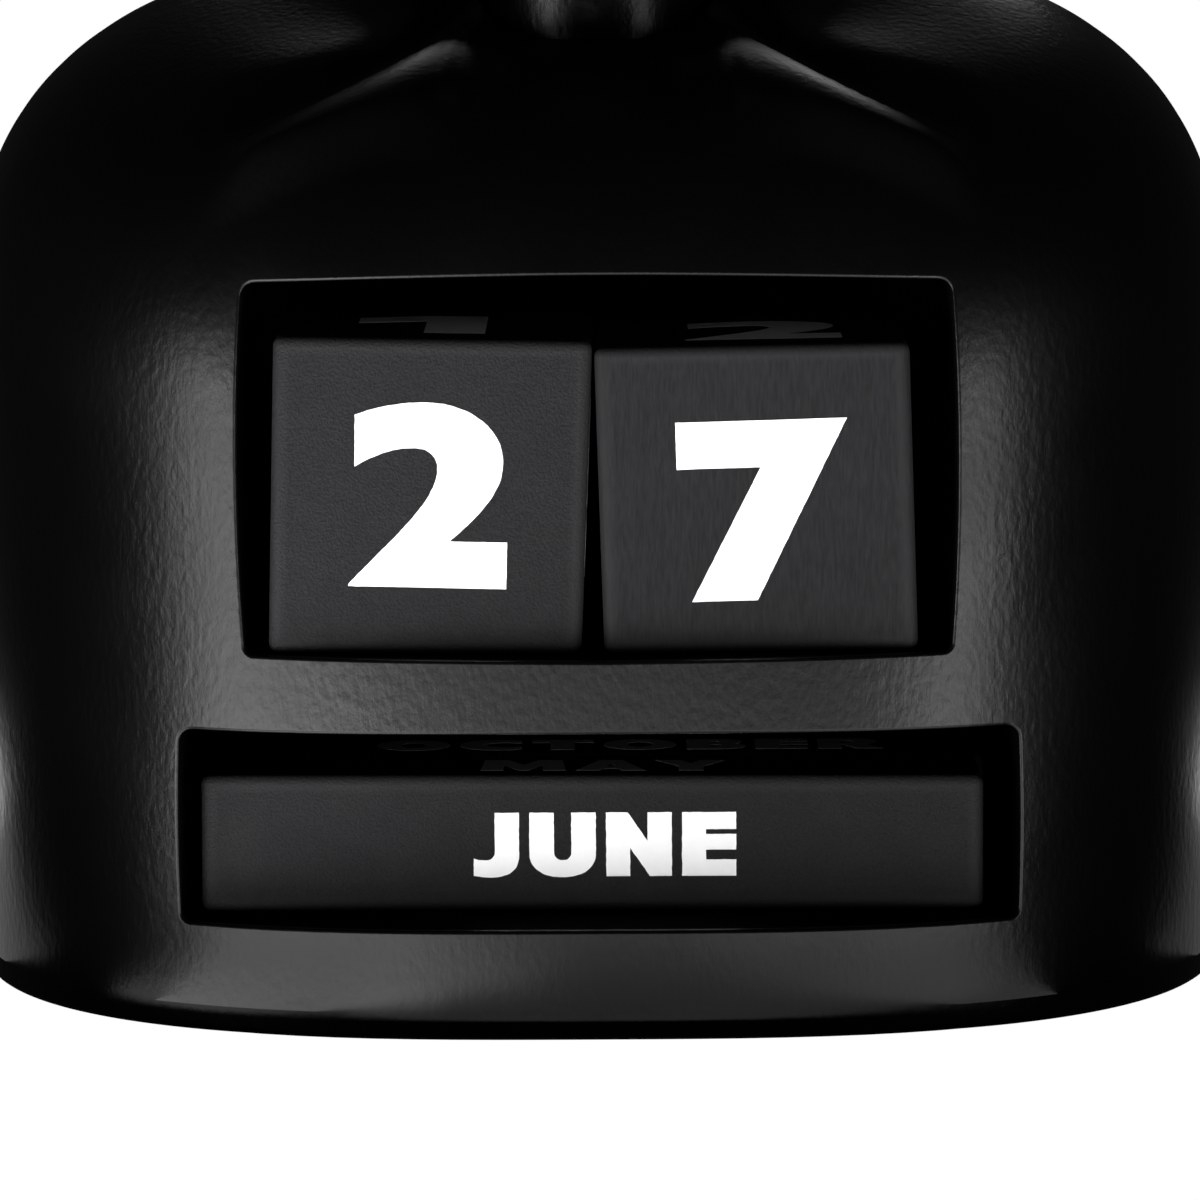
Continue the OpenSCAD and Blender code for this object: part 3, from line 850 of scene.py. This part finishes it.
def date_cube(node, body, paint, middle, lean, corners, order, shifts):
    place = Matrix.Translation(middle + off_middle) @ Matrix.Rotation(lean, 4, "Y")
    cube = block(node + "_block", Vector((cube_side,) * 3), place, corners)
    cube.data.materials.append(paint)
    numerals = print_faces(cube, node + "_numerals", place, cube_faces, order, shifts,
                           figure_height)
    fit_block(cube, numerals, node, body)


x_axis, y_axis, z_axis = Vector((1, 0, 0)), Vector((0, 1, 0)), Vector((0, 0, 1))
cube_faces = [face_frame(*axes, cube_side / 2) for axes in (
    (x_axis, z_axis, -y_axis), (x_axis, y_axis, z_axis), (-x_axis, z_axis, y_axis),
    (x_axis, -y_axis, -z_axis), (-y_axis, z_axis, -x_axis), (y_axis, z_axis, x_axis))]
ink = screen_print()
noise.seed_set(1)  # the ragged edges come out alike each time
grained_paint = charcoal_paint("grained charcoal paint", False)
brushed_paint = charcoal_paint("brushed charcoal paint", True)
tens_corners = ((-0.0001, -0.0002), (0.0003, 0), (-0.0001, -0.0006), (-0.0002, 0))
units_corners = ((-0.0001, -0.0008), (-0.0001, -0.0012), (0, 0), (0, -0.0006))
date_cube("tens_cube", "tens", grained_paint, (tens_low + tens_high) / 2, cube_lean,
          tens_corners, "210345", ((0, -0.0003), (-0.0015, 0), *[(0, 0)] * 4))
date_cube("units_cube", "units", brushed_paint, (units_low + units_high) / 2, -cube_lean,
          units_corners, "720168", ((0.0007, -0.0019), (0.0014, 0), *[(0, 0)] * 4))

# ---- Month bars ----
# Three square bars of the same painted wood, one behind the other in the lower pocket. Each
# has four months on its long faces, which read upright in turn as the bar is rolled over.

figures.update({
    "A": [[(0, 0), (0.37, 0), (0.41, 0.16), (0.67, 0.16), (0.71, 0), (1.08, 0), (0.72, 1),
           (0.36, 1)],
          [(0.46, 0.39), (0.54, 0.66), (0.62, 0.39)]],
    "B": [[(0, 0), (0, 1), (0.50, 1), (0.74, 1, 0.88, 0.90, 0.88, 0.74),
           (0.88, 0.63, 0.82, 0.56, 0.73, 0.525), (0.85, 0.49, 0.93, 0.40, 0.93, 0.28),
           (0.93, 0.10, 0.79, 0, 0.53, 0)],
          [(0.36, 0.76), (0.36, 0.62), (0.45, 0.62), (0.50, 0.62, 0.53, 0.65, 0.53, 0.69),
           (0.53, 0.73, 0.50, 0.76, 0.45, 0.76)],
          [(0.36, 0.40), (0.36, 0.24), (0.47, 0.24), (0.53, 0.24, 0.56, 0.27, 0.56, 0.32),
           (0.56, 0.37, 0.53, 0.40, 0.47, 0.40)]],
    "C": [[(0.98, 0.93), (0.88, 0.99, 0.77, 1.02, 0.64, 1.02), (0.27, 1.02, 0, 0.82, 0, 0.5),
           (0, 0.18, 0.27, -0.02, 0.64, -0.02), (0.77, -0.02, 0.88, 0.01, 0.98, 0.07),
           (0.98, 0.36), (0.90, 0.30, 0.81, 0.27, 0.72, 0.27),
           (0.53, 0.27, 0.41, 0.36, 0.41, 0.5), (0.41, 0.64, 0.53, 0.73, 0.72, 0.73),
           (0.81, 0.73, 0.90, 0.70, 0.98, 0.64)]],
    "D": [[(0, 0), (0, 1), (0.45, 1), (0.82, 1, 1.03, 0.81, 1.03, 0.5),
           (1.03, 0.19, 0.82, 0, 0.45, 0)],
          [(0.37, 0.73), (0.37, 0.27), (0.45, 0.27), (0.57, 0.27, 0.64, 0.36, 0.64, 0.5),
           (0.64, 0.64, 0.57, 0.73, 0.45, 0.73)]],
    "E": [[(0, 0), (0, 1), (0.836, 1), (0.836, 0.73), (0.37, 0.73), (0.37, 0.655),
           (0.836, 0.655), (0.836, 0.41), (0.37, 0.41), (0.37, 0.255), (0.836, 0.255),
           (0.836, 0)]],
    "F": [[(0, 0), (0, 1), (0.80, 1), (0.80, 0.73), (0.37, 0.73), (0.37, 0.62), (0.76, 0.62),
           (0.76, 0.37), (0.37, 0.37), (0.37, 0)]],
    "G": [[(0.99, 0.92), (0.89, 0.99, 0.77, 1.02, 0.64, 1.02), (0.27, 1.02, 0, 0.82, 0, 0.5),
           (0, 0.18, 0.27, -0.02, 0.64, -0.02), (0.79, -0.02, 0.92, 0.01, 1.02, 0.07),
           (1.02, 0.57), (0.60, 0.57), (0.60, 0.36), (0.69, 0.36), (0.69, 0.26),
           (0.52, 0.25, 0.41, 0.35, 0.41, 0.5), (0.41, 0.64, 0.53, 0.74, 0.72, 0.74),
           (0.81, 0.74, 0.90, 0.71, 0.99, 0.65)]],
    "H": [[(0, 0), (0, 1), (0.37, 1), (0.37, 0.63), (0.66, 0.63), (0.66, 1), (1.03, 1),
           (1.03, 0), (0.66, 0), (0.66, 0.36), (0.37, 0.36), (0.37, 0)]],
    "I": [[(0, 0), (0, 1), (0.37, 1), (0.37, 0)]],
    "J": [[(0.33, 1), (0.704, 1), (0.704, 0.33), (0.704, 0.12, 0.56, -0.012, 0.28, -0.012),
           (0.17, -0.012, 0.08, 0, 0, 0.02), (0, 0.285),
           (0.06, 0.265, 0.12, 0.255, 0.20, 0.258), (0.29, 0.262, 0.33, 0.31, 0.33, 0.41)]],
    "L": [[(0, 0), (0, 1), (0.37, 1), (0.37, 0.27), (0.80, 0.27), (0.80, 0)]],
    "M": [[(0, 0), (0.05, 1), (0.43, 1), (0.66, 0.52), (0.89, 1), (1.27, 1), (1.32, 0),
           (0.97, 0), (0.955, 0.50), (0.74, 0), (0.58, 0), (0.365, 0.50), (0.35, 0)]],
    "N": [[(0, 0), (0, 1), (0.335, 1), (0.64, 0.55), (0.64, 1), (1.014, 1), (1.014, 0),
           (0.675, 0), (0.37, 0.44), (0.37, 0)]],
    "O": [oval(0.58, 0.5, 0.58, 0.52), oval(0.58, 0.5, 0.20, 0.245)],
    "P": [[(0, 0), (0, 1), (0.52, 1), (0.78, 1, 0.92, 0.87, 0.92, 0.67),
           (0.92, 0.46, 0.78, 0.33, 0.52, 0.33), (0.37, 0.33), (0.37, 0)],
          [(0.37, 0.75), (0.37, 0.58), (0.45, 0.58), (0.51, 0.58, 0.55, 0.61, 0.55, 0.665),
           (0.55, 0.72, 0.51, 0.75, 0.45, 0.75)]],
    "R": [[(0, 0), (0, 1), (0.55, 1), (0.81, 1, 0.94, 0.88, 0.94, 0.70),
           (0.94, 0.57, 0.87, 0.47, 0.76, 0.42), (1.02, 0), (0.60, 0), (0.41, 0.36),
           (0.37, 0.36), (0.37, 0)],
          [(0.37, 0.76), (0.37, 0.60), (0.46, 0.60), (0.53, 0.60, 0.57, 0.63, 0.57, 0.68),
           (0.57, 0.73, 0.53, 0.76, 0.46, 0.76)]],
    "S": [[(0.76, 0.94), (0.66, 1.0, 0.54, 1.02, 0.42, 1.02),
           (0.18, 1.02, 0.02, 0.90, 0.02, 0.70), (0.02, 0.52, 0.14, 0.45, 0.32, 0.40),
           (0.42, 0.37, 0.46, 0.355, 0.46, 0.31), (0.46, 0.27, 0.42, 0.25, 0.35, 0.25),
           (0.24, 0.25, 0.12, 0.28, 0.02, 0.35), (0.02, 0.06),
           (0.12, 0, 0.26, -0.02, 0.38, -0.02), (0.66, -0.02, 0.82, 0.10, 0.82, 0.32),
           (0.82, 0.49, 0.71, 0.57, 0.52, 0.62), (0.42, 0.645, 0.38, 0.66, 0.38, 0.70),
           (0.38, 0.74, 0.42, 0.76, 0.49, 0.76), (0.58, 0.76, 0.68, 0.73, 0.76, 0.68)]],
    "T": [[(0.30, 0), (0.30, 0.72), (0, 0.72), (0, 1), (0.98, 1), (0.98, 0.72), (0.68, 0.72),
           (0.68, 0)]],
    "U": [[(0, 1), (0.38, 1), (0.38, 0.40), (0.38, 0.30, 0.43, 0.255, 0.514, 0.255),
           (0.60, 0.255, 0.648, 0.30, 0.648, 0.40), (0.648, 1), (1.028, 1), (1.028, 0.36),
           (1.028, 0.13, 0.83, -0.012, 0.514, -0.012), (0.20, -0.012, 0, 0.13, 0, 0.36)]],
    "V": [[(0.36, 0), (0, 1), (0.40, 1), (0.55, 0.44), (0.70, 1), (1.10, 1), (0.74, 0)]],
    "Y": [[(0.36, 0), (0.36, 0.38), (0, 1), (0.40, 1), (0.55, 0.68), (0.70, 1), (1.10, 1),
           (0.74, 0.38), (0.74, 0)]],
})

bar_side = front_bar_high.z - front_bar_low.z
letter_height = 0.0074
letter_spacing = 0.16
bar_faces = [face_frame(*axes, bar_side / 2) for axes in (
    (x_axis, z_axis, -y_axis), (x_axis, y_axis, z_axis),
    (x_axis, -z_axis, y_axis), (x_axis, -y_axis, -z_axis))]


def month_bar(node, body, months, shifts, corners=((0, 0),) * 4):
    low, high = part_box(node)
    place = Matrix.Translation((low + high) / 2)
    bar = block(node + "_block", high - low, place, corners)
    bar.data.materials.append(grained_paint)
    names = print_faces(bar, node + "_names", place, bar_faces, months, shifts,
                        letter_height, letter_spacing)
    fit_block(bar, names, node, body)


month_bar("month_bar_may_aug", "front_bar", ("JUNE", "MAY", "AUGUST", "JULY"),
          ((0.0012, 0), (0.0011, 0), (0, 0), (0, 0)),
          ((-0.0002, 0.0003), (-0.0002, -0.0001), (-0.0003, 0.0001), (-0.0002, 0)))
month_bar("month_bar_sep_dec", "middle_bar", ("NOVEMBER", "OCTOBER", "SEPTEMBER", "DECEMBER"),
          ((0, 0), (0.0035, 0), (0, 0), (0, 0)))
month_bar("month_bar_jan_apr", "rear_bar", ("FEBRUARY", "JANUARY", "APRIL", "MARCH"),
          [(0, 0)] * 4)

# ---- Studio ----
# A pale floor and soft light that comes low off the table: glowing cards lie round the bust,
# brightest to the front left, and dim panels stand far out to the left, right and back. None
# of it is part of the object.


def soft_light(name, place, turn, width, length, radiance):
    """A rectangle that glows evenly, unseen by the camera."""
    light = bpy.data.lights.new(name, "AREA")
    light.shape = "RECTANGLE"
    light.size, light.size_y = width, length
    light.energy = radiance * math.pi * width * length
    panel = bpy.data.objects.new(name, light)
    bpy.context.scene.collection.objects.link(panel)
    panel.location = place
    panel.rotation_euler = turn
    panel.visible_camera = False


def table_card(name, bearing, near, far, width, radiance):
    """A card on the table that faces up, at a bearing in degrees to the right of the front.
    Near and far are distances from a place under the chest."""
    under_chest = Vector((0, -0.02, 0.004))
    turn = math.radians(bearing)
    out = Vector((math.sin(turn), -math.cos(turn), 0)) * (near + far) / 2
    soft_light(name, out + under_chest, (math.pi, 0, turn), width, far - near, radiance)


table_card("left card", -38, 0.12, 0.42, 0.13, 13)
table_card("far left card", -49, 0.42, 1.5, 0.22, 15)
table_card("near left card", -40, 0.04, 0.12, 0.055, 4)
soft_light("left foot card", (-0.045, -0.054, 0.003), (math.pi, 0, math.radians(-25)),
           0.05, 0.02, 2.5)
soft_light("foot card", (0.015, -0.058, 0.003), (math.pi, 0, 0), 0.09, 0.02, 1.2)
table_card("near middle card", -5, 0.045, 0.075, 0.06, 0.9)
table_card("middle card", -8, 0.075, 0.45, 0.12, 3.6)
table_card("right middle card", 20, 0.075, 0.42, 0.08, 2.6)
table_card("right card", 41, 0.12, 0.34, 0.07, 10)
table_card("near right card", 45, 0.045, 0.12, 0.05, 1.5)
table_card("far right card", 46, 0.34, 1.5, 0.12, 11)
table_card("left back card", -140, 0.05, 0.14, 0.12, 0.5)
table_card("right back card", 140, 0.05, 0.14, 0.12, 0.3)
table_card("back card", 180, 0.09, 0.6, 0.3, 3)
upright = math.radians(90)
soft_light("left panel", (-1.12, -1.03, 0.07), (upright, 0, math.radians(-48)), 0.5, 0.14, 4)
soft_light("right panel", (1.12, -1.03, 0.07), (upright, 0, math.radians(48)), 0.4, 0.14, 3)
soft_light("back panel", (0.05, 1.1, 0.54), (-upright, 0, 0), 0.45, 0.20, 1.6)

bm = bmesh.new()
bmesh.ops.create_circle(bm, cap_ends=True, segments=96, radius=4)
floor = piece_from(bm, "floor")
paper, _, paper_shader = new_material("pale paper", (0.85, 0.85, 0.85), 0.9)
paper_shader.inputs["Emission Color"].default_value = (1, 1, 1, 1)
paper_shader.inputs["Emission Strength"].default_value = 1.0
floor.data.materials.append(paper)
floor.visible_glossy = floor.visible_diffuse = False

world = bpy.data.worlds.new("studio")
bpy.context.scene.world = world
world.use_nodes = True
sky = world.node_tree.nodes["Background"]
sky.inputs["Color"].default_value = (1, 1, 1, 1)
path = world.node_tree.nodes.new("ShaderNodeLightPath")
sky_light, backdrop = 0.015, 1.0
level = remap(world.node_tree, path.outputs["Is Camera Ray"], 0, 1, sky_light, backdrop)
world.node_tree.links.new(level, sky.inputs["Strength"])

lens_px, sensor_px = 6784, 1200
pitch, yaw, roll = math.radians(7.723), math.radians(0.209), math.radians(-0.331)
camera = bpy.data.cameras.new("camera")
camera.sensor_width = 36
camera.lens = camera.sensor_width * lens_px / sensor_px
camera.clip_start, camera.clip_end = 0.01, 20
view = bpy.data.objects.new("camera", camera)
bpy.context.scene.collection.objects.link(view)
view.location = (0.0030, -0.8010, 0.1534)
facing = Euler((math.radians(90) - pitch, 0, yaw), "XYZ").to_matrix()
view.rotation_euler = (facing @ Matrix.Rotation(roll, 3, "Z")).to_euler()
bpy.context.scene.camera = view
bpy.context.scene.view_settings.view_transform = "Standard"
